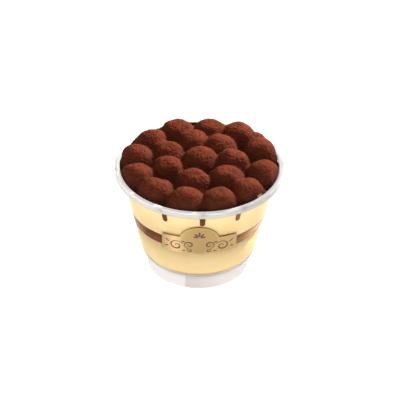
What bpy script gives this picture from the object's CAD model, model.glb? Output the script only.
"""Tiramisu in a clear cup: cream, soaked sponge and piped mounds under cocoa, with a gold label."""

import math
import random

import bmesh
import bpy
import numpy as np
from bpy.props import FloatProperty, FloatVectorProperty, IntProperty, PointerProperty
from bpy.types import Operator, Panel, PropertyGroup
from mathutils import Matrix, Vector, noise


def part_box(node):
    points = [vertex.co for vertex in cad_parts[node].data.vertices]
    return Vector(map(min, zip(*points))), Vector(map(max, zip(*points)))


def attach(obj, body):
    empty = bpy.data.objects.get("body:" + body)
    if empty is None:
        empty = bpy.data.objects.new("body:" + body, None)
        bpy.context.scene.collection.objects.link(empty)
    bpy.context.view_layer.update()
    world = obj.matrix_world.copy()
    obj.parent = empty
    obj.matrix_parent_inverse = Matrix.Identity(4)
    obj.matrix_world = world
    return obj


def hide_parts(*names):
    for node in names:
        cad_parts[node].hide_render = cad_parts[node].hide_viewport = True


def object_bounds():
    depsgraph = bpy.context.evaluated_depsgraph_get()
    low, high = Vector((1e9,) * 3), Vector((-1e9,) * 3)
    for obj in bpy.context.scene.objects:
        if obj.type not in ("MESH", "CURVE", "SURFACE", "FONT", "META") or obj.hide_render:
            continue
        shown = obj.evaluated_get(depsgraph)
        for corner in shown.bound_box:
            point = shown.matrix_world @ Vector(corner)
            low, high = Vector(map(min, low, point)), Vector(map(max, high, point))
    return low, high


bl_info = {
    "name": "Tiramisu in a clear cup",
    "version": (1, 0, 0),
    "blender": (4, 5, 0),
    "location": "3D View > Sidebar > Tiramisu",
    "description": "Builds a layered dessert in its cup, with cocoa, a label and a plain studio",
    "category": "Add Mesh",
}

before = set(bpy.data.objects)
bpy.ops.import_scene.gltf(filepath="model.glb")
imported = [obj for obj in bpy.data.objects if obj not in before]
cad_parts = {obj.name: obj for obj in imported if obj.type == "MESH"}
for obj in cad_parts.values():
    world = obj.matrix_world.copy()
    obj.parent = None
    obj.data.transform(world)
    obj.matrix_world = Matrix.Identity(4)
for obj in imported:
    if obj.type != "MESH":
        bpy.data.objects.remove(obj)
CAD_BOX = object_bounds()

MM = 0.001
TINY = 1e-6
RIM_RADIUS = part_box("cup")[1].x
CUP_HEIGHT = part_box("cup")[1].z
UP = Vector((0, 0, 1))


def length(name, description, default):
    """A size in metres."""
    return FloatProperty(name=name, description=description, default=default, unit="LENGTH", precision=5)


def degrees(name, description, default):
    """An angle, given in degrees."""
    return FloatProperty(name=name, description=description, default=math.radians(default), subtype="ANGLE")


def number(name, description, default):
    """A plain number."""
    return FloatProperty(name=name, description=description, default=default)


def colour(name, description, default):
    """A linear colour."""
    return FloatVectorProperty(
        name=name, description=description, default=default, subtype="COLOR", size=3, min=0, max=1
    )


class CupSizes(PropertyGroup):
    """Sizes of the clear cup."""

    wall: length("Wall", "Thickness of the plastic", 0.8 * MM)
    foot_radius: length("Foot radius", "Outer radius of the foot ring", 29.6 * MM)
    foot_height: length("Foot height", "Height of the foot ring", 9.4 * MM)
    floor_top: length("Floor", "Height of the floor inside", 10.6 * MM)
    low_radius: length("Low radius", "Outer radius where the straight wall starts", 33.9 * MM)
    low_z: length("Low height", "Height where the straight wall starts", 16 * MM)
    high_radius: length("High radius", "Outer radius where the straight wall ends", 43 * MM)
    high_z: length("High height", "Height where the straight wall ends", 59 * MM)
    mouth_radius: length("Mouth radius", "Inner radius of the rim", 44.8 * MM)
    lip_drop: length("Lip", "How far the lip hangs down", 3.3 * MM)
    steps: IntProperty(name="Steps", description="Faces around the cup", default=240, min=24)


class FillingSizes(PropertyGroup):
    """Sizes of the layers and the cocoa bed."""

    bite: length("Contact", "How far the filling reaches into the wall", 0.15 * MM)
    waviness: length("Waviness", "How far the edges of the sponge wander", 0.3 * MM)
    cream_top: length("Cream top", "Height of the cream under the mounds", 60 * MM)
    cream_edge: length("Cream edge", "Height of the cream at the wall", 63.6 * MM)
    dish_radius: length("Dish radius", "Where the cream starts to climb to the wall", 40.8 * MM)
    bed_top: length("Cocoa bed", "Height of the cocoa between the mounds", 62 * MM)
    bed_edge: length("Cocoa edge", "Height of the cocoa at the wall", 64.3 * MM)
    streak_width: length("Streak width", "Width of a cocoa streak at the rim", 3.6 * MM)
    streak_funnel: length("Streak funnel", "Extra width of a streak behind the lip", 2.6 * MM)
    streak_tip: length("Streak tip", "Width of a cocoa streak near its end", 2.8 * MM)
    streak_bottom: length("Streak end", "Height where a cocoa streak ends", 52.4 * MM)


class MoundSizes(PropertyGroup):
    """Sizes of the piped mounds and their powder."""

    spread: length("Spread", "Reach of a mound before its neighbours cut it", 12.4 * MM)
    saddle_reach: length("Saddle distance", "From a crest to the saddle beside it", 9.25 * MM)
    saddle_depth: length("Saddle depth", "From a crest down to that height", 5.4 * MM)
    steepness: number("Steepness", "How fast the flanks fall", 2.4)
    blend: length("Blend", "How softly neighbouring mounds run together", 0.95 * MM)
    shoulder: length("Shoulder", "Where the outer flanks start to fall", 5.5 * MM)
    shoulder_height: length("Shoulder height", "From the wall's edge up to the shoulder", 8.6 * MM)
    swell: length("Swell", "Slow unevenness of the piped shape", 0.8 * MM)
    ridges: length("Ridges", "Depth of the lines left by piping", 0.05 * MM)
    clumps: length("Clumps", "Height of the powder's clumps", 0.26 * MM)
    grain: length("Grain", "Height of the powder's grain", 0.14 * MM)
    crumbs: IntProperty(name="Crumbs", description="Loose cocoa crumbs", default=160, min=0)


class LabelSizes(PropertyGroup):
    """Sizes of the label."""

    half_width: length("Half width", "Half of the strip's width", 20.6 * MM)
    bottom: length("Bottom", "Lower corners of the strip", 30.3 * MM)
    bottom_arch: length("Bottom arch", "Rise of the lower edge in the middle", 0.6 * MM)
    top: length("Top", "Upper corners of the strip", 42.6 * MM)
    top_arch: length("Top arch", "Rise of the upper edge in the middle", 0.9 * MM)
    oval_width: length("Oval half width", "Half of the oval's width", 10.9 * MM)
    oval_centre: length("Oval centre", "Height of the oval's centre", 40.95 * MM)
    oval_height: length("Oval half height", "Half of the oval's height", 10.65 * MM)
    turn: degrees("Turn", "Turn about the cup", 0.8)
    proud: length("Proud", "How far the label stands off the wall", 0.3 * MM)


class Colours(PropertyGroup):
    """Colours of the finishes."""

    plastic: colour("Plastic", "Clear plastic", (0.97, 0.975, 0.98))
    cream: colour("Cream", "Custard cream", (0.965, 0.69, 0.31))
    cream_pale: colour("Pale cream", "Paler patches of the cream", (0.985, 0.72, 0.36))
    sponge: colour("Sponge", "Soaked sponge", (0.135, 0.016, 0.001))
    sponge_pale: colour("Pale sponge", "Drier crumb of the sponge", (0.64, 0.36, 0.185))
    cocoa_dry: colour("Dry cocoa", "Loose powder on top", (0.18, 0.035, 0.0115))
    cocoa_damp: colour("Damp cocoa", "Powder that took up moisture", (0.072, 0.0185, 0.012))
    streak: colour("Streak", "Cocoa pressed against the wall", (0.17, 0.055, 0.02))
    cream_shade: colour("Shaded cream", "Cream in the shadow of the lip", (0.6, 0.42, 0.2))
    sponge_end: colour("Lit sponge", "Sponge where the lamp shines through it", (0.6, 0.5, 0.39))
    cocoa_shade: colour("Shaded cocoa", "Powder in the shadow of the rim", (0.02, 0.006, 0.004))
    gold_light: colour("Light gold", "Bright part of the label", (0.8, 0.52, 0.225))
    gold_deep: colour("Deep gold", "Dark part of the label", (0.38, 0.235, 0.075))
    print_brown: colour("Brown print", "Ornament of the label", (0.06, 0.02, 0.01))


class Studio(PropertyGroup):
    """The view and the light."""

    distance: length("Distance", "From the camera to the cup", 0.9)
    elevation: degrees("Elevation", "Camera above the floor", 35.93)
    roll: degrees("Roll", "Tilt of the picture", 0.86)
    aim_right: length("Aim right", "Picture's centre right of the axis", 1.77 * MM)
    aim_up: length("Aim up", "Picture's centre above the cup's middle", 5.87 * MM)
    middle: length("Middle", "Height of the cup's middle", 32 * MM)
    lens: number("Lens", "Focal length in millimetres", 140.24)
    sky: number("Sky", "Strength of the light from above", 0.5)
    horizon: number("Horizon", "Strength of the light from all round", 1.2)
    glow_high: degrees("Glow high", "Where the glow above the floor has faded", 24)
    near_edge: length("Near edge", "Radius where the floor starts to brighten", 0.25)
    far_edge: length("Far edge", "Radius where the floor is at its brightest", 0.4)
    glow_back: length("Glow back", "Centre of the dimmer floor behind the cup", 0.1)
    key: number("Key", "Power of the main light in watts", 23)
    floor_glow: number("Floor glow", "Light given off near the cup", 1.22)
    far_glow: number("Far glow", "Light given off by the floor further out", 3.0)


GROUPS = {
    "cup": CupSizes, "filling": FillingSizes, "mounds": MoundSizes,
    "label": LabelSizes, "colours": Colours, "studio": Studio,
}


def sizes(kind):
    """The scene's values of one kind."""
    return getattr(bpy.context.scene, "tiramisu_" + kind)


# Materials, whose sums are written as Python expressions


class Wire:
    """A socket of a material that can be used in sums."""

    def __init__(self, paint, socket):
        self.paint = paint
        self.socket = socket

    def math(self, operation, first, second):
        return self.paint.add("Math", {"operation": operation}, {0: first, 1: second})

    def __add__(self, other):
        return self.math("ADD", self, other)

    def __sub__(self, other):
        return self.math("SUBTRACT", self, other)

    def __rsub__(self, other):
        return self.math("SUBTRACT", other, self)

    def __mul__(self, other):
        return self.math("MULTIPLY", self, other)

    def __truediv__(self, other):
        return self.math("DIVIDE", self, other)

    def __pow__(self, other):
        return self.math("POWER", self, other)

    __radd__ = __add__
    __rmul__ = __mul__

    def between(self, low, high):
        """0 below low, 1 above high and smooth between them."""
        sockets = {"Value": self, "From Min": low, "From Max": high}
        return self.paint.add("MapRange", {"interpolation_type": "SMOOTHSTEP"}, sockets)


class Nodes:
    """A node tree that grows as sums are written."""

    def __init__(self, tree):
        self.tree = tree

    def add(self, kind, settings=None, sockets=None, output=0):
        """Adds a node: its settings first, then its sockets' values or links."""
        node = self.tree.nodes.new("ShaderNode" + kind)
        for key, value in (settings or {}).items():
            if key == "stops":
                self.set_stops(node.color_ramp, value)
            else:
                setattr(node, key, value)
        for key, value in (sockets or {}).items():
            if isinstance(value, Wire):
                self.tree.links.new(value.socket, node.inputs[key])
            else:
                node.inputs[key].default_value = value
        return Wire(self, node.outputs[output])

    @staticmethod
    def set_stops(ramp, stops):
        while len(ramp.elements) < len(stops):
            ramp.elements.new(1)
        for element, (place, value) in zip(ramp.elements, stops):
            element.position = place
            element.color = (*value, 1)

    def mix(self, share, first, second):
        """A colour between two colours."""
        first, second = (value if isinstance(value, Wire) else (*value, 1) for value in (first, second))
        return self.add("Mix", {"data_type": "RGBA"}, {0: share, 6: first, 7: second}, output=2)


class Paint(Nodes):
    """A material with one main shader."""

    def __init__(self, name, **fixed):
        self.material = bpy.data.materials.new(name)
        self.material.use_nodes = True
        super().__init__(self.material.node_tree)
        self.shader = self.tree.nodes["Principled BSDF"]
        for socket, value in fixed.items():
            self.shader.inputs[socket.replace("_", " ")].default_value = value

    def place(self, scale=(1, 1, 1)):
        """The point on the piece, with each direction stretched."""
        point = self.add("TexCoord", output="Object")
        return self.add("Mapping", {"vector_type": "POINT"}, {"Vector": point, "Scale": scale})

    def axis(self, name):
        """One coordinate of the point on the piece."""
        return self.add("SeparateXYZ", None, {0: self.place()}, output=name)

    def reach(self, x=0, y=0):
        """Distance on the piece from an upright line."""
        return ((self.axis("X") - x) ** 2 + (self.axis("Y") - y) ** 2) ** 0.5

    def noise(self, scale, detail=2, stretch=(1, 1, 1), roughness=0.5):
        """Soft random shades from 0 to 1."""
        sockets = {"Vector": self.place(stretch), "Scale": scale, "Detail": detail, "Roughness": roughness}
        return self.add("TexNoise", None, sockets)

    def attribute(self, name):
        return self.add("Attribute", {"attribute_name": name}, output="Fac")

    def feed(self, socket, wire):
        self.tree.links.new(wire.socket, self.shader.inputs[socket])

    def bump(self, height, distance, strength=1.0):
        sockets = {"Height": height, "Distance": distance, "Strength": strength}
        self.feed("Normal", self.add("Bump", None, sockets))


# Where the plastic's finish changes, in millimetres
SHADE_STARTS = (5.5, 9.2)
FOOT_ENDS = (9, 10.2)
RING_STARTS = (9.2, 9.8)
RING_ENDS = (11.2, 12.4)
FROST_STARTS = (-7.6, -6.6)
FROST_FADES = (-5, 16)
LIP_HEIGHT = (61, 61.6)
LIP_RADIUS = (45.4, 46.2)
EDGE_ENDS = (61.9, 62.5)
TOP_HEIGHT = (64.3, 64.6)
TOP_OUTER = (45.8, 46.6)
LAMP_SIDE = (5, 36)

# Tones of the milky plastic
MILKY = {
    "foot": (0.88, 0.82, 0.77),
    "frosted foot": (0.64, 0.565, 0.5),
    "ring": (0.3, 0.24, 0.18),
    "top": (0.92, 0.91, 0.9),
    "outer top": (0.84, 0.84, 0.83),
    "lit top": (0.5, 0.5, 0.5),
    "lip": (0.8, 0.755, 0.71),
    "lit lip": (0.6, 0.58, 0.56),
    "edge": (0.4, 0.36, 0.3),
    "cocoa behind": (0.3, 0.27, 0.27),
    "glow": (0.46, 0.45, 0.44),
}


def clear_plastic(colours):
    """Thin moulded plastic, clear on the wall and milky in the rim and the foot."""
    paint = Paint("clear plastic", Base_Color=(*colours.plastic, 1), Transmission_Weight=1.0, IOR=1.05)
    paint.feed("Roughness", 0.03 + 0.06 * paint.noise(60, 2).between(0.35, 0.75))
    paint.bump(paint.noise(45, 1), 0.1 * MM, 0.25)
    height, side, out = paint.axis("Z") / MM, paint.axis("X") / MM, paint.reach() / MM
    foot = 1 - height.between(*FOOT_ENDS)
    ring_starts = height.between(*RING_STARTS)
    ring = ring_starts * (1 - height.between(*RING_ENDS))
    shadow = ring + 0.4 * height.between(*SHADE_STARTS) * (1 - ring_starts)
    frosted = foot * side.between(*FROST_STARTS) * (1 - 0.75 * side.between(*FROST_FADES))
    lip = height.between(*LIP_HEIGHT) * out.between(*LIP_RADIUS)
    edge = lip * (1 - height.between(*EDGE_ENDS))
    top, outer = height.between(*TOP_HEIGHT), out.between(*TOP_OUTER)
    lit = side.between(*LAMP_SIDE)
    flat = paint.mix(outer, MILKY["top"], MILKY["outer top"])
    white = paint.mix(frosted, MILKY["foot"], MILKY["frosted foot"])
    white = paint.mix(shadow, white, MILKY["ring"])
    white = paint.mix(top, white, paint.mix(lit, flat, MILKY["lit top"]))
    white = paint.mix(lip * (1 - top), white, paint.mix(lit, MILKY["lip"], MILKY["lit lip"]))
    white = paint.mix(0.5 * edge, white, MILKY["edge"])
    white = paint.mix(0.6 * paint.attribute("behind"), white, MILKY["cocoa behind"])
    glow = top * (1 - 0.3 * outer) * (1 - lit)
    sockets = {
        "Base Color": white,
        "Roughness": 0.8,
        "Specular IOR Level": 0.3,
        "Transmission Weight": 0.3,
        "Emission Color": paint.mix(glow, (0, 0, 0), MILKY["glow"]),
        "Emission Strength": 1.0,
        "IOR": 1.2,
    }
    milky = paint.add("BsdfPrincipled", None, sockets, "BSDF")
    haze = 0.95 * (lip + top - lip * top) + 0.6 * foot + 0.85 * ring
    clear = Wire(paint, paint.shader.outputs["BSDF"])
    mixed = paint.add("MixShader", None, {0: haze, 1: clear, 2: milky}, "Shader")
    paint.tree.links.new(mixed.socket, paint.tree.nodes["Material Output"].inputs["Surface"])
    return paint.material


# Heights of the lip's shadow on the cream
LIP_SHADE = (56.4 * MM, 59 * MM)


def custard_cream(colours):
    """Smooth cream with slow clouds and fine air pores."""
    paint = Paint("custard cream", Subsurface_Weight=0.06, Subsurface_Scale=1 * MM)
    paint.shader.inputs["Subsurface Radius"].default_value = (1.0, 0.7, 0.35)
    clouds = paint.noise(90, 3).between(0.35, 0.7)
    tone = paint.mix(clouds, colours.cream, colours.cream_pale)
    under_lip = 0.45 * paint.axis("Z").between(*LIP_SHADE)
    paint.feed("Base Color", paint.mix(under_lip, tone, colours.cream_shade))
    paint.feed("Roughness", 0.4 + 0.15 * clouds)
    paint.bump(paint.noise(1400, 2), 0.05 * MM, 0.3)
    return paint.material


# Sponge from left to right: share of the width and share of the pale crumb
SPONGE_WIDTH = 80 * MM
SPONGE_TONES = ((0.08, 0.4), (0.15, 0.05), (0.5, 0.08), (0.74, 0.25), (0.8, 0.42), (0.86, 1.0))
SPONGE_END = 0.96
# The sponge behind the front
SPONGE_BACK = (-12 * MM, -1 * MM)
SPONGE_BACK_TONE = 0.12


def soaked_sponge(colours):
    """Sponge crumb, dark where it is soaked through, with pores."""
    paint = Paint("soaked sponge", Specular_IOR_Level=0.05, Subsurface_Weight=0.08, Subsurface_Scale=1 * MM)
    crumb = paint.noise(520, 4, roughness=0.65).between(0.35, 0.7)
    soaked = paint.noise(70, 2, stretch=(1, 1, 0.4)).between(0.35, 0.65)
    dark, pale = (Vector(value) for value in (colours.sponge, colours.sponge_pale))
    stops = [(place, dark.lerp(pale, share)) for place, share in SPONGE_TONES]
    stops.append((SPONGE_END, colours.sponge_end))
    across = paint.axis("X") / SPONGE_WIDTH + 0.5
    tone = paint.add("ValToRGB", {"stops": stops}, {0: across})
    tone = paint.mix(paint.axis("Y").between(*SPONGE_BACK), tone, dark.lerp(pale, SPONGE_BACK_TONE))
    paint.feed("Base Color", paint.mix(0.07 * crumb + 0.05 * soaked, tone, colours.sponge_pale))
    paint.feed("Roughness", 0.55 + 0.25 * crumb)
    paint.bump(crumb, 0.25 * MM, 0.5)
    return paint.material


# Radius and height of the rim's shadow on the powder
WALL_SHADE = (39.5 * MM, 44 * MM)
WALL_SHADE_TOP = (65 * MM, 69.5 * MM)
# The patch that the cocoa missed
BARE_PLACE = (33.5 * MM, -30 * MM)
BARE_RADIUS = (0.8 * MM, 2.6 * MM)
BARE_TOP = (65.2 * MM, 66.6 * MM)


def cocoa_powder(colours):
    """Dry powder on top, darker and damp on the flanks and in the valleys."""
    paint = Paint("cocoa powder", Specular_IOR_Level=0.02)
    fine = paint.noise(1700, 3, roughness=0.75)
    streaks = paint.noise(260, 3, stretch=(1, 1, 5), roughness=0.65)
    patches = paint.noise(170, 2)
    dusting = paint.attribute("dusting")
    share = dusting * 0.6 + 0.9 * (fine - 0.5) + 1.3 * (streaks - 0.5) + 0.5 * (patches - 0.5)
    powder = paint.mix(share.between(0, 1.1), colours.cocoa_damp, colours.cocoa_dry)
    height = paint.axis("Z")
    at_wall = paint.reach().between(*WALL_SHADE) * (1 - height.between(*WALL_SHADE_TOP))
    powder = paint.mix(0.5 * at_wall, powder, colours.cocoa_shade)
    bare = (1 - paint.reach(*BARE_PLACE).between(*BARE_RADIUS)) * (1 - height.between(*BARE_TOP))
    paint.feed("Base Color", paint.mix(bare * (fine + 0.4), powder, colours.sponge_pale))
    paint.feed("Roughness", 0.85 + 0.15 * fine)
    paint.bump(0.5 * fine + 0.8 * streaks, 0.5 * MM, 1.0)
    return paint.material


# Where the streaks get drier
STREAKS_DRY = (12 * MM, 26 * MM)


def pressed_cocoa(colours):
    """Cocoa that ran down between the cream and the wall."""
    paint = Paint("pressed cocoa", Specular_IOR_Level=0.05)
    share = paint.noise(500, 3, stretch=(1, 1, 0.4)).between(0.3, 0.75)
    dried = paint.axis("X").between(*STREAKS_DRY)
    wet = paint.mix(share, colours.streak, tuple(0.6 * c for c in colours.streak))
    paint.feed("Base Color", paint.mix(0.3 * dried, wet, colours.sponge_pale))
    paint.feed("Roughness", 0.6 + 0.2 * share)
    paint.bump(share, 0.1 * MM, 0.4)
    return paint.material


# Sheen along the strip: place and brightness
SHEEN = ((0.0, 0.1), (0.17, 1.0), (0.34, 0.35), (0.5, 0.12), (0.75, 0.2), (1.0, 0.22))


def gold_print(colours):
    """Satin gold that shades along the strip, deeper in the oval."""
    label = sizes("label")
    paint = Paint("gold print", Metallic=0.15, Specular_IOR_Level=0.3)
    across = paint.attribute("across")
    stops = [(place, (bright,) * 3) for place, bright in SHEEN]
    along = (across / label.half_width) * 0.5 + 0.5
    sheen = paint.add("ValToRGB", {"stops": stops}, {0: along})
    grain = paint.noise(900, 2, stretch=(1, 1, 6))
    out = (across / label.oval_width) ** 2 + ((paint.axis("Z") - label.oval_centre) / label.oval_height) ** 2
    in_oval = 1 - out.between(0.97, 1.0)
    edge = in_oval * out.between(0.86, 0.9)
    share = sheen * (1 - 0.45 * in_oval) + 0.3 * (grain - 0.5) + 0.25 * edge
    paint.feed("Base Color", paint.mix(share, colours.gold_deep, colours.gold_light))
    paint.feed("Roughness", 0.35 + 0.15 * grain)
    paint.bump(grain + edge, 0.02 * MM, 0.3)
    return paint.material


def brown_print(colours):
    """Dark glossy ink with slightly uneven cover."""
    paint = Paint("brown print", Coat_Weight=0.2)
    cover = paint.noise(700, 2).between(0.3, 0.8)
    paler = tuple(1.8 * c for c in colours.print_brown)
    paint.feed("Base Color", paint.mix(cover, colours.print_brown, paler))
    paint.feed("Roughness", 0.35 + 0.2 * cover)
    return paint.material


# Shapes


def take_mesh(bm, name):
    """Turns what was built into a mesh."""
    mesh = bpy.data.meshes.new(name)
    bm.to_mesh(mesh)
    bm.free()
    return mesh


def add_object(name, data):
    """Adds an object at the origin."""
    added = bpy.data.objects.new(name, data)
    bpy.context.scene.collection.objects.link(added)
    return added


def finish_piece(bm, name, finish, slot, *nodes):
    """Makes an object of the mesh, which rides on the body and stands for its nodes."""
    mesh = take_mesh(bm, name)
    mesh.polygons.foreach_set("use_smooth", [True] * len(mesh.polygons))
    piece = add_object(name, mesh)
    piece.data.materials.append(finish)
    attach(piece, "root")
    if nodes:
        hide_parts(*nodes)


def material(maker):
    """The material that a maker paints, made once."""
    name = maker.__name__.replace("_", " ")
    return bpy.data.materials.get(name) or maker(sizes("colours"))


def outline(bm, points):
    """A line of vertices through pairs of radius and height."""
    verts = [bm.verts.new((radius, 0, z)) for radius, z in points]
    for first, second in zip(verts, verts[1:]):
        bm.edges.new((first, second))
    return verts


def round_corners(bm, corners, radius, segments=3):
    """Rounds corners of an outline."""
    bmesh.ops.bevel(
        bm, geom=corners, offset=radius, offset_type="OFFSET", affect="VERTICES", segments=segments,
        profile=0.5, material=-1,
    )


def turn_round(bm, steps):
    """Turns the outline about +Z into a closed skin."""
    bmesh.ops.spin(
        bm, geom=bm.edges[:] + bm.verts[:], cent=(0, 0, 0), axis=UP, angle=math.tau, steps=steps,
        use_merge=True,
    )
    bmesh.ops.remove_doubles(bm, verts=bm.verts[:], dist=TINY)
    bmesh.ops.recalc_face_normals(bm, faces=bm.faces[:])


def kept(parts, kind):
    """The parts of one kind."""
    return [part for part in parts if isinstance(part, kind)]


def move_out(point, share):
    """Multiplies a point's distance from the cup's axis."""
    point.x *= share
    point.y *= share


def wall_radius(cup, z):
    """Outer radius of the cup's straight wall at a height."""
    rise = (z - cup.low_z) / (cup.high_z - cup.low_z)
    return cup.low_radius + rise * (cup.high_radius - cup.low_radius)


def fill_radius(z):
    """Radius of the filling at a height, just inside the wall."""
    cup, filling = sizes("cup"), sizes("filling")
    inner = wall_radius(cup, z) - cup.wall
    if z > cup.high_z:
        rise = (z - cup.high_z) / (CUP_HEIGHT - cup.high_z)
        inner = cup.high_radius - cup.wall + rise * (cup.mouth_radius - cup.high_radius + cup.wall)
    return inner + filling.bite


# The cup's lower corner
CORNER_START = 0.6 * MM
CORNER_KNEE_IN = 0.9 * MM
CORNER_KNEE_UP = 0.8 * MM


def corner_points(cup, inset, low, steps=8):
    """The corner between the foot and the wall, as radius and height."""
    start = Vector((cup.foot_radius + CORNER_START - inset, low))
    knee = Vector((cup.low_radius - CORNER_KNEE_IN - inset, low + CORNER_KNEE_UP))
    end = Vector((cup.low_radius - inset, cup.low_z))
    shares = [step / steps for step in range(steps + 1)]
    return [tuple((1 - t) ** 2 * start + 2 * t * (1 - t) * knee + t * t * end) for t in shares]


FLOOR_THICKNESS = 0.9 * MM
# Roundings
BEND = 0.5 * MM
FREE_EDGE = 0.25 * MM
RIM_EDGE = 0.7 * MM
# The part of the lip that shows the streaks behind it
LIP_INSET = 0.9 * MM
LIP_LIFT = 0.6 * MM
STREAK_BLUR = 2 * MM


class TIRAMISU_OT_cup(Operator):
    """Adds the clear cup with its hollow foot and turned-down rim"""

    bl_idname = "tiramisu.cup"
    bl_label = "Clear cup"

    def execute(self, context):
        cup = sizes("cup")
        wall = cup.wall
        lip_bottom = CUP_HEIGHT - cup.lip_drop
        foot_inner = cup.foot_radius - wall
        floor_under = cup.floor_top - FLOOR_THICKNESS
        skirt = RIM_RADIUS - wall
        bm = bmesh.new()
        points = [(0, floor_under), (foot_inner, floor_under), (foot_inner, 0), (cup.foot_radius, 0)]
        under = outline(bm, points)
        corner = outline(bm, [(cup.foot_radius, cup.foot_height), *corner_points(cup, 0, cup.foot_height)])
        points = [
            (cup.high_radius, cup.high_z),
            (cup.mouth_radius + wall, CUP_HEIGHT - wall),
            (skirt, CUP_HEIGHT - wall),
            (skirt, lip_bottom),
            (RIM_RADIUS, lip_bottom),
            (RIM_RADIUS, CUP_HEIGHT),
            (cup.mouth_radius, CUP_HEIGHT),
            (cup.high_radius - wall, cup.high_z),
        ]
        flare = outline(bm, points)
        inside = outline(bm, [*reversed(corner_points(cup, wall, cup.floor_top)), (0, cup.floor_top)])
        for last, first in ((under, corner), (corner, flare), (flare, inside)):
            bm.edges.new((last[-1], first[0]))
        round_corners(bm, [under[1], flare[0], flare[1], flare[2], flare[-1]], BEND)
        round_corners(bm, [under[2], under[3], flare[3], flare[4]], FREE_EDGE)
        round_corners(bm, [flare[5], flare[6]], RIM_EDGE, 4)
        turn_round(bm, cup.steps)
        behind = bm.verts.layers.float.new("behind")
        streaks = streak_angles()
        for vert in bm.verts:
            if vert.co.z > lip_bottom + LIP_LIFT and vert.co.xy.length > RIM_RADIUS - LIP_INSET:
                turn = math.atan2(vert.co.y, vert.co.x)
                apart = min(abs(math.remainder(turn - angle, math.tau)) for angle in streaks) * RIM_RADIUS
                vert[behind] = math.exp(-((apart / STREAK_BLUR) ** 2))
        finish_piece(bm, "clear_cup", material(clear_plastic), "clear_plastic", "cup")
        return {"FINISHED"}


# How the sponge's edges bend at the left and the right
BEND_START = 20 * MM
BEND_REACH = 18 * MM
BEND_DOWN = 1.5 * MM
BEND_UP = 1.2 * MM


def layer_wave(point, base, upper):
    """How far an edge of the sponge goes up or down at a point."""
    filling = sizes("filling")
    around = Vector((point.x, point.y, base * 40)) * 90
    wave = filling.waviness * (noise.noise(around) + 0.5 * noise.noise(around * 2.7))
    end = max(0, abs(point.x) - BEND_START) / BEND_REACH
    return wave - (BEND_DOWN if upper or point.x < 0 else -BEND_UP) * end**2


def wavy_edges(bm, *heights):
    """Lets the edges at these heights wander, alike for both layers."""
    middle = sum(sponge_heights()) / 2
    for vert in bm.verts:
        for height in heights:
            if abs(vert.co.z - height) < TINY:
                vert.co.z += layer_wave(vert.co, height, height > middle)
                break


def sponge_heights():
    """Lower and upper edge of the sponge layer, halfway in the gaps to the cream."""
    low = (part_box("cream_lower")[1].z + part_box("sponge_layer")[0].z) / 2
    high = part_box("sponge_layer")[1].z + (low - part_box("cream_lower")[1].z)
    return low, high


def add_layer(name, maker, slot, node, points, *edges):
    """Adds a layer of the filling, which meets others at these edges."""
    bm = bmesh.new()
    outline(bm, points)
    turn_round(bm, sizes("cup").steps)
    wavy_edges(bm, *edges)
    finish_piece(bm, name, material(maker), slot, node)


class TIRAMISU_OT_cream(Operator):
    """Adds the cream below and above the sponge"""

    bl_idname = "tiramisu.cream"
    bl_label = "Cream"

    def execute(self, context):
        cup, filling = sizes("cup"), sizes("filling")
        low, high = sponge_heights()
        base = cup.floor_top - filling.bite
        corner = corner_points(cup, cup.wall - filling.bite, base)
        points = [(0, base), *corner, (fill_radius(low), low), (0, low)]
        add_layer("lower_cream", custard_cream, "cream", "cream_lower", points, low)
        points = [
            (0, high),
            (fill_radius(high), high),
            (fill_radius(cup.high_z), cup.high_z),
            (fill_radius(filling.cream_edge), filling.cream_edge),
            (filling.dish_radius, filling.cream_top),
            (0, filling.cream_top),
        ]
        add_layer("upper_cream", custard_cream, "cream", "cream_upper", points, high)
        return {"FINISHED"}


class TIRAMISU_OT_sponge(Operator):
    """Adds the soaked sponge layer"""

    bl_idname = "tiramisu.sponge"
    bl_label = "Sponge"

    def execute(self, context):
        low, high = sponge_heights()
        points = [(0, low), (fill_radius(low), low), (fill_radius(high), high), (0, high)]
        add_layer("soaked_sponge", soaked_sponge, "sponge", "sponge_layer", points, low, high)
        return {"FINISHED"}


def crest(name):
    """The highest point of a mound."""
    return max((vert.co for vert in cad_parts[name].data.vertices), key=lambda co: co.z).copy()


CRESTS = {name: crest(name) for name in sorted(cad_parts) if name.startswith("mound_")}
# A low heap of powder against the wall at the back
DRIFT_TURN = math.radians(36)
DRIFT_REACH = 39.5 * MM
DRIFTS = [(math.cos(DRIFT_TURN) * DRIFT_REACH, math.sin(DRIFT_TURN) * DRIFT_REACH, 70.5 * MM)]


def soft_highest(heights, blend):
    """The highest of several heights, rounded where two meet."""
    top = np.max(heights, axis=0)
    return top + blend * np.log(np.sum(np.exp((heights - top) / blend), axis=0))


def skin_height(x, y):
    """Height of the cocoa skin over the mounds and up to the wall."""
    mounds = sizes("mounds")
    filling = sizes("filling")
    edge = fill_radius(filling.bed_edge)
    reach = np.hypot(x, y)
    climb = np.clip((reach - filling.dish_radius) / (edge - filling.dish_radius), 0, 1)
    heights = [filling.bed_top + (filling.bed_edge - filling.bed_top) * climb**2]
    crests = [(c.x, c.y, c.z) for c in CRESTS.values()] + DRIFTS
    for crest_x, crest_y, crest_z in crests:
        away = np.hypot(x - crest_x, y - crest_y) / mounds.saddle_reach
        heights.append(crest_z - mounds.saddle_depth * away**mounds.steepness)
    skin = soft_highest(np.array(heights), mounds.blend)
    into = np.clip((reach - edge + mounds.shoulder) / mounds.shoulder, 0, 1)
    shoulder = filling.bed_edge + mounds.shoulder_height * np.sqrt(1 - into**2)
    return -soft_highest(np.array([-skin, -shoulder]), mounds.blend)


# The powder's unevenness, in waves for each metre
SWELL_SCALE = 150
CLUMP_SCALE = 900
GRAIN_SCALE = 2300
# Lines left by piping
LINE_HEIGHT = 0.24 * MM
LINE_WANDER = 5
LINE_SHADE = 0.07


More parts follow.
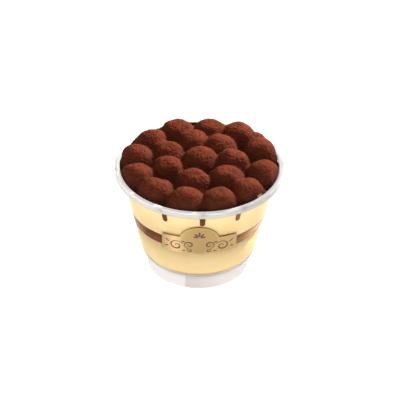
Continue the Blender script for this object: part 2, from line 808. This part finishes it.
def piping_line(point):
    """Height of the lines left by piping, from -1 to 1."""
    return math.sin(point.z / LINE_HEIGHT + LINE_WANDER * noise.noise(point * SWELL_SCALE))


def powder_relief(mounds, point):
    """How far the powder stands out at a point."""
    swell = mounds.swell * noise.noise(point * SWELL_SCALE)
    clump = mounds.clumps * noise.noise(point * CLUMP_SCALE)
    grain = mounds.grain * noise.noise(point * GRAIN_SCALE + Vector((7, 3, 5)))
    return swell + clump + grain + mounds.ridges * piping_line(point)


def lay_skin(bm, above=-math.inf, lower=0):
    """Lays points on the cocoa skin, roughens it and stores how dusty each is."""
    mounds = sizes("mounds")
    dusting = bm.verts.layers.float.new("dusting")
    verts = [vert for vert in bm.verts if vert.co.z > above]
    step = 0.05 * MM
    x = np.array([vert.co.x for vert in verts])
    y = np.array([vert.co.y for vert in verts])
    z = skin_height(x, y)
    slope_x = (skin_height(x + step, y) - z) / step
    slope_y = (skin_height(x, y + step) - z) / step
    ceiling = CAD_BOX[1].z - TINY
    wall = fill_radius(sizes("filling").bed_edge)
    for vert, height, a, b in zip(verts, z, slope_x, slope_y):
        out = Vector((-a, -b, 1)).normalized()
        base = Vector((vert.co.x, vert.co.y, height))
        moved = base + out * (powder_relief(mounds, base) - lower)
        reach = moved.xy.length
        if reach > wall:
            move_out(moved, wall / reach)
        moved.z = min(moved.z, ceiling)
        vert.co = moved
        vert[dusting] = min(1.0, max(0.0, 0.95 * out.z + LINE_SHADE * piping_line(base)))


class TIRAMISU_OT_mounds(Operator):
    """Adds the piped mounds, each cut where its neighbours begin"""

    bl_idname = "tiramisu.mounds"
    bl_label = "Mounds"

    def execute(self, context):
        for name in CRESTS:
            self.add_mound(sizes("mounds").spread, name)
        return {"FINISHED"}

    def add_mound(self, spread, name):
        """Cuts a mound's piece out of the cocoa skin."""
        middle = CRESTS[name]
        bm = bmesh.new()
        bmesh.ops.create_icosphere(bm, subdivisions=5, radius=spread)
        self.cut_off(bm, (0, 0, 0), -UP)
        bmesh.ops.subdivide_edges(bm, edges=bm.edges[:], cuts=2, use_grid_fill=True)
        bmesh.ops.translate(bm, verts=bm.verts[:], vec=(middle.x, middle.y, 0))
        self.squeeze_to_wall(bm)
        for other in CRESTS.values():
            apart = (other - middle).to_2d()
            if 0 < apart.length < 2 * spread:
                self.cut_off(bm, middle + (other - middle) / 2, apart.normalized().to_3d())
        lay_skin(bm)
        self.close_below(bm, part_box(name)[0].z)
        finish_piece(bm, name.replace("mound", "piped_mound"), material(cocoa_powder), "cocoa", name)

    @staticmethod
    def cut_off(bm, point, normal):
        """Cuts away what lies beyond a plane."""
        bmesh.ops.bisect_plane(
            bm, geom=bm.verts[:] + bm.edges[:] + bm.faces[:], dist=TINY, plane_co=point, plane_no=normal,
            clear_outer=True,
        )

    @staticmethod
    def squeeze_to_wall(bm):
        """Draws in what would pass the wall, closer the further out it was."""
        edge = fill_radius(sizes("filling").bed_edge)
        band = 1.5 * MM
        start = edge - band
        for vert in bm.verts:
            reach = vert.co.xy.length
            if reach > start:
                squeezed = edge - band * math.exp(-(reach - start) / band)
                move_out(vert.co, squeezed / reach)

    @staticmethod
    def close_below(bm, base):
        """Carries the open edge down to the base and closes it there."""
        rim = [edge for edge in bm.edges if edge.is_boundary]
        made = bmesh.ops.extrude_edge_only(bm, edges=rim)["geom"]
        for vert in kept(made, bmesh.types.BMVert):
            vert.co.z = base
        bmesh.ops.edgenet_fill(bm, edges=kept(made, bmesh.types.BMEdge))
        bmesh.ops.triangulate(bm, faces=bm.faces[:])
        bmesh.ops.recalc_face_normals(bm, faces=bm.faces[:])


OUTER_RING = 28 * MM
# Degrees from the front between which there are no streaks
STREAK_FREE = (40, 75)


def streak_angles():
    """Directions halfway between neighbouring mounds of the outer ring."""
    outer = sorted(math.atan2(c.y, c.x) for c in CRESTS.values() if c.xy.length > OUTER_RING)
    following = outer[1:] + [outer[0] + math.tau]
    angles = []
    for first, second in zip(outer, following):
        angle = (first + second) / 2
        from_front = abs(math.degrees(math.remainder(angle + math.pi / 2, math.tau)))
        if not STREAK_FREE[0] < from_front < STREAK_FREE[1]:
            angles.append(angle)
    return angles


# The cocoa bed, with rings that crowd at the wall
BED_SINK = 0.08 * MM
BED_STEPS = 300
BED_RINGS = 44
BED_CROWDING = 1.6
# The streaks, whose top part, one in FUNNEL_SHARE, widens
STREAK_FACES = (8, 24)
FUNNEL_SHARE = 6
FUNNEL_CURVE = 0.7
STREAK_WANDER = 0.15 * MM
STREAK_SINK = 0.12 * MM
STREAK_THICKNESS = 0.2 * MM


class TIRAMISU_OT_cocoa(Operator):
    """Adds the cocoa between the mounds and the streaks on the wall"""

    bl_idname = "tiramisu.cocoa"
    bl_label = "Cocoa bed and streaks"

    def execute(self, context):
        filling = sizes("filling")
        edge = fill_radius(filling.bed_edge)
        bm = bmesh.new()
        points = [
            (0, filling.cream_top),
            (filling.dish_radius, filling.cream_top),
            (fill_radius(filling.cream_edge), filling.cream_edge),
        ]
        under = outline(bm, points)
        shares = [(step / BED_RINGS) ** BED_CROWDING for step in range(BED_RINGS + 1)]
        over = outline(bm, [(edge * (1 - share), filling.bed_edge) for share in shares])
        bm.edges.new((under[-1], over[0]))
        turn_round(bm, BED_STEPS)
        lay_skin(bm, filling.bed_edge - TINY, BED_SINK)
        finish_piece(bm, "cocoa_bed_powder", material(cocoa_powder), "cocoa", "cocoa_bed")
        bm = bmesh.new()
        for angle in streak_angles():
            self.add_streak(bm, filling, angle)
        finish_piece(bm, "cocoa_streaks", material(pressed_cocoa), "cocoa")
        return {"FINISHED"}

    @staticmethod
    def add_streak(bm, filling, angle):
        """A thin tongue of powder on the wall, round at its lower end."""
        wide, high = STREAK_FACES
        made = bmesh.ops.create_grid(bm, x_segments=wide, y_segments=high, size=0.5)["verts"]
        tall = filling.bed_edge - filling.streak_bottom
        for vert in made:
            across, up = vert.co.x, vert.co.y + 0.5
            z = filling.streak_bottom + up * tall
            width = filling.streak_tip + up * (filling.streak_width - filling.streak_tip)
            funnel = max(0, up * FUNNEL_SHARE - (FUNNEL_SHARE - 1))
            width += filling.streak_funnel * funnel**FUNNEL_CURVE
            tip = width / 2
            if z < filling.streak_bottom + tip:
                into = 1 - (z - filling.streak_bottom) / tip
                width *= math.sqrt(max(0.0, 1 - into * into))
            wander = STREAK_WANDER * noise.noise(Vector((angle * 9, 0, z * 600)))
            radius = fill_radius(z) + STREAK_SINK
            turn = angle + (across * width + wander) / radius
            vert.co = Vector((radius * math.cos(turn), radius * math.sin(turn), z))
        faces = list(dict.fromkeys(face for vert in made for face in vert.link_faces))
        bmesh.ops.solidify(bm, geom=faces, thickness=STREAK_THICKNESS)


# Crumbs, with their radii in millimetres
CRUMB_REACH = 43.5 * MM
CRUMB_RADII = (0.12, 0.28)


class TIRAMISU_OT_crumbs(Operator):
    """Adds loose crumbs of cocoa on the mounds"""

    bl_idname = "tiramisu.crumbs"
    bl_label = "Crumbs"

    def execute(self, context):
        mounds = sizes("mounds")
        chance = random.Random(11)
        ball = bmesh.new()
        bmesh.ops.create_icosphere(ball, subdivisions=2, radius=1)
        kind = take_mesh(ball, "crumb")
        bm = bmesh.new()
        dusting = bm.verts.layers.float.new("dusting")
        for _ in range(mounds.crumbs):
            angle = chance.uniform(0, math.tau)
            reach = CRUMB_REACH * math.sqrt(chance.random())
            x, y = reach * math.cos(angle), reach * math.sin(angle)
            point = Vector((x, y, float(skin_height(np.array(x), np.array(y)))))
            size = chance.uniform(*CRUMB_RADII) * MM
            point.z = min(point.z + powder_relief(mounds, point) + 0.3 * size, CAD_BOX[1].z - 2 * size)
            first = len(bm.verts)
            bm.from_mesh(kind)
            bm.verts.ensure_lookup_table()
            for vert in bm.verts[first:]:
                lump = 1 + 0.5 * noise.noise(vert.co * 1.5 + point * 3000)
                vert.co = point + vert.co * size * lump
                vert[dusting] = 1.0
        bpy.data.meshes.remove(kind)
        finish_piece(bm, "cocoa_crumbs", material(cocoa_powder), "cocoa")
        return {"FINISHED"}


def on_wall(label, x, z, lift):
    """A point of the label's flat drawing, laid back onto the wall."""
    radius = wall_radius(sizes("cup"), z) + lift
    angle = label.turn + math.asin(x / radius) - math.pi / 2
    return Vector((radius * math.cos(angle), radius * math.sin(angle), z))


def inside_label(label, x, z):
    """Whether a place of the drawing is on the arched strip or on the oval."""
    arch = 1 - (x / label.half_width) ** 2
    in_strip = label.bottom + label.bottom_arch * arch <= z <= label.top + label.top_arch * arch
    in_oval = (x / label.oval_width) ** 2 + ((z - label.oval_centre) / label.oval_height) ** 2 <= 1
    return in_strip or in_oval


# The label's plate
PLATE_FACES = (168, 88)
PLATE_MERGE = 0.03 * MM
PLATE_BACK = 0.05 * MM
NEAR_OVAL = (0.93, 1.03)
# Half the thickness of the ornament
INK = 0.1 * MM
# Scrolls of the ornament: centre, size, where the line starts, turns and width
SCROLLS = (
    ((12.6 * MM, 35.9 * MM), 3.9 * MM, math.radians(150), -1.45, 0.5 * MM),
    ((5.6 * MM, 37.4 * MM), 2.9 * MM, math.radians(-75), 1.35, 0.45 * MM),
    ((5.2 * MM, 33.2 * MM), 1.5 * MM, math.radians(60), -1.2, 0.34 * MM),
)
# Its leaves: place, way and half length
LEAVES = (
    ((17.6 * MM, 38.6 * MM), (0.8, 0.6), 1.5 * MM),
    ((18.0 * MM, 34.0 * MM), (0.85, -0.5), 1.3 * MM),
    ((8.9 * MM, 39.7 * MM), (0.9, 0.35), 1.2 * MM),
    ((8.6 * MM, 32.6 * MM), (0.95, -0.25), 1.1 * MM),
)
LEAF_WIDTH = 0.42 * MM
# Its palmette
PALMETTE_FOOT = 43.4 * MM
PALMETTE_GAP = 0.7 * MM
PETAL_LENGTH = 2.1 * MM
PETAL_SHORTER = 0.3 * MM
PETAL_WIDTH = 0.62 * MM
PETAL_TURN = 37


class TIRAMISU_OT_label(Operator):
    """Adds the gold label with its plain ornament"""

    bl_idname = "tiramisu.label"
    bl_label = "Label"

    def execute(self, context):
        label = sizes("label")
        self.add_plate(label)
        self.add_ornament(label)
        return {"FINISHED"}

    def add_plate(self, label):
        """Cuts the strip and the oval out of a grid and wraps them round the wall."""
        bm = bmesh.new()
        wide, high = PLATE_FACES
        bmesh.ops.create_grid(bm, x_segments=wide, y_segments=high, size=1)
        across = bm.verts.layers.float.new("across")
        for vert in bm.verts:
            x, z = vert.co.x * label.half_width, label.oval_centre + vert.co.y * label.oval_height
            vert.co = Vector((x, 0, z))
            vert[across] = x
        outside = [face for face in bm.faces if not inside_label(label, *face.calc_center_median().xz)]
        bmesh.ops.delete(bm, geom=outside, context="FACES")
        self.smooth_edge(bm, label)
        bmesh.ops.remove_doubles(bm, verts=bm.verts[:], dist=PLATE_MERGE)
        front = bmesh.ops.extrude_face_region(bm, geom=bm.faces[:])["geom"]
        lift = dict.fromkeys(kept(front, bmesh.types.BMVert), label.proud)
        for vert in bm.verts:
            vert.co = on_wall(label, vert.co.x, vert.co.z, lift.get(vert, PLATE_BACK))
        bmesh.ops.recalc_face_normals(bm, faces=bm.faces[:])
        finish_piece(bm, "gold_label", material(gold_print), "gold_print", "label")

    @staticmethod
    def smooth_edge(bm, label):
        """Draws the grid's stepped edge onto the oval and the arches."""
        for vert in bm.verts:
            if not vert.is_boundary:
                continue
            x, z = vert.co.x / label.oval_width, (vert.co.z - label.oval_centre) / label.oval_height
            away = math.hypot(x, z)
            if NEAR_OVAL[0] < away < NEAR_OVAL[1]:
                vert.co.x = x / away * label.oval_width
                vert.co.z = label.oval_centre + z / away * label.oval_height
            elif abs(vert.co.x) < label.half_width:
                arch = 1 - (vert.co.x / label.half_width) ** 2
                if vert.co.z > label.oval_centre:
                    vert.co.z = label.top + label.top_arch * arch
                else:
                    vert.co.z = label.bottom + label.bottom_arch * arch

    def add_ornament(self, label):
        """Prints mirrored scrolls on the strip and a palmette in the oval."""
        curve = bpy.data.curves.new("ornament", "CURVE")
        curve.dimensions = "3D"
        curve.bevel_depth = 1.0
        curve.bevel_resolution = 3
        curve.use_fill_caps = True
        for side in (-1, 1):
            for centre, size, start, turns, width in SCROLLS:
                points = []
                for t in (step / 40 for step in range(41)):
                    away, turn = size * (1 - 0.85 * t), start + turns * math.tau * t
                    x, z = centre[0] + away * math.cos(turn), centre[1] + away * math.sin(turn)
                    swell = 0.35 + 0.65 * math.sin(math.pi * min(1, t * 1.15)) ** 2
                    points.append((side * x, z, width * swell))
                self.add_stroke(curve, label, points)
            for place, way, size in LEAVES:
                self.add_leaf(curve, label, (side * place[0], place[1]), (side * way[0], way[1]), size)
        for petal in range(-2, 3):
            turn = math.radians(90 + PETAL_TURN * petal)
            way = (math.cos(turn), math.sin(turn))
            size = PETAL_LENGTH - PETAL_SHORTER * abs(petal)
            away = size + PALMETTE_GAP
            middle = (way[0] * away, PALMETTE_FOOT + way[1] * away)
            self.add_leaf(curve, label, middle, way, size, PETAL_WIDTH)
        holder = bpy.data.objects.new("ornament", curve)
        bm = bmesh.new()
        bm.from_mesh(holder.to_mesh())
        bpy.data.objects.remove(holder)
        self.flatten(bm, label)
        finish_piece(bm, "label_ornament", material(brown_print), None)

    def add_leaf(self, curve, label, place, way, size, width=LEAF_WIDTH):
        """A pointed leaf, widest in its middle."""
        points = []
        for t in (step / 6 - 1 for step in range(13)):
            x, z = place[0] + way[0] * size * t, place[1] + way[1] * size * t
            points.append((x, z, max(0.02 * MM, width * (1 - t * t))))
        self.add_stroke(curve, label, points)

    @staticmethod
    def add_stroke(curve, label, points):
        """A line through points of the drawing, each with its half width."""
        spline = curve.splines.new("POLY")
        spline.points.add(len(points) - 1)
        for knot, (x, z, width) in zip(spline.points, points):
            knot.co = (*on_wall(label, x, z, label.proud), 1)
            knot.radius = width

    @staticmethod
    def flatten(bm, label):
        """Presses the strokes flat, just proud of the label."""
        for vert in bm.verts:
            radius = vert.co.xy.length
            surface = wall_radius(sizes("cup"), vert.co.z) + label.proud
            flat = surface + min(INK, max(-INK, radius - surface))
            move_out(vert.co, flat / radius)


FLOOR_HALF = 6
LAMP_PLACE = Vector((0.46, 0.58, 0.42))
LAMP_AIM = Vector((0, 0, 0.06))
LAMP_SIZE = 0.2


class TIRAMISU_OT_stage(Operator):
    """Adds the floor, the soft light and the camera"""

    bl_idname = "tiramisu.stage"
    bl_label = "Studio"

    def execute(self, context):
        studio = sizes("studio")
        self.add_floor(studio)
        self.add_sky(studio)
        self.add_lamp(studio)
        self.add_camera(context.scene, studio)
        context.scene.view_settings.view_transform = "Standard"
        return {"FINISHED"}

    @staticmethod
    def add_floor(studio):
        """A floor that gives off its own light, less of it near the cup."""
        bm = bmesh.new()
        bmesh.ops.create_grid(bm, x_segments=1, y_segments=1, size=FLOOR_HALF)
        floor = add_object("floor", take_mesh(bm, "floor"))
        paint = Paint("white floor", Base_Color=(0.03, 0.03, 0.03, 1), Roughness=0.9, Specular_IOR_Level=0.0)
        paint.shader.inputs["Emission Strength"].default_value = studio.far_glow
        share = paint.reach(0, studio.glow_back).between(studio.near_edge, studio.far_edge)
        near = studio.floor_glow / studio.far_glow
        paint.feed("Emission Color", paint.mix(share, (near,) * 3, (1.0,) * 3))
        floor.data.materials.append(paint.material)

    @staticmethod
    def add_sky(studio):
        """Light from all round that is brightest at the horizon."""
        world = bpy.data.worlds.new("soft sky")
        world.use_nodes = True
        nodes = Nodes(world.node_tree)
        way = nodes.add("TexCoord", output="Generated")
        height = nodes.add("SeparateXYZ", None, {0: way}, output="Z")
        share = height.between(0, math.sin(studio.glow_high))
        glow = nodes.mix(share, (studio.horizon,) * 3, (studio.sky,) * 3)
        nodes.tree.links.new(glow.socket, nodes.tree.nodes["Background"].inputs["Color"])
        bpy.context.scene.world = world

    @staticmethod
    def add_lamp(studio):
        """A square soft box that looks at the cup."""
        data = bpy.data.lights.new("key", "AREA")
        data.size = LAMP_SIZE
        data.energy = studio.key
        turn = (LAMP_PLACE - LAMP_AIM).to_track_quat("Z", "Y").to_matrix().to_4x4()
        add_object("key", data).matrix_world = Matrix.Translation(LAMP_PLACE) @ turn

    @staticmethod
    def add_camera(scene, studio):
        """The camera of the photo, in front of the cup and above it."""
        data = bpy.data.cameras.new("camera")
        data.lens = studio.lens
        data.clip_start, data.clip_end = 0.01, 20
        camera = add_object("camera", data)
        flat, steep = math.cos(studio.elevation), math.sin(studio.elevation)
        middle = Vector((0, 0, studio.middle))
        eye = middle + studio.distance * Vector((0, -flat, steep))
        aim = middle + Vector((studio.aim_right, 0, 0)) + studio.aim_up * Vector((0, steep, flat))
        turn = (eye - aim).to_track_quat("Z", "Y").to_matrix().to_4x4()
        camera.matrix_world = Matrix.Translation(eye) @ turn @ Matrix.Rotation(studio.roll, 4, "Z")
        scene.camera = camera


OPERATORS = (
    TIRAMISU_OT_stage,
    TIRAMISU_OT_cup,
    TIRAMISU_OT_cream,
    TIRAMISU_OT_sponge,
    TIRAMISU_OT_mounds,
    TIRAMISU_OT_cocoa,
    TIRAMISU_OT_crumbs,
    TIRAMISU_OT_label,
)


class TIRAMISU_PT_panel(Panel):
    """Lists the steps that build the dessert"""

    bl_idname = "TIRAMISU_PT_panel"
    bl_label = "Tiramisu"
    bl_space_type = "VIEW_3D"
    bl_region_type = "UI"
    bl_category = "Tiramisu"

    def draw(self, context):
        for operator in OPERATORS:
            self.layout.operator(operator.bl_idname)


def register():
    for group in GROUPS.values():
        bpy.utils.register_class(group)
    for name, group in GROUPS.items():
        setattr(bpy.types.Scene, "tiramisu_" + name, PointerProperty(type=group))
    for operator in (*OPERATORS, TIRAMISU_PT_panel):
        bpy.utils.register_class(operator)


def unregister():
    for operator in (TIRAMISU_PT_panel, *reversed(OPERATORS)):
        bpy.utils.unregister_class(operator)
    for name, group in GROUPS.items():
        delattr(bpy.types.Scene, "tiramisu_" + name)
        bpy.utils.unregister_class(group)


def main():
    """Builds everything."""
    register()
    for operator in OPERATORS:
        group, name = operator.bl_idname.split(".")
        getattr(getattr(bpy.ops, group), name)()


if __name__ == "__main__":
    main()
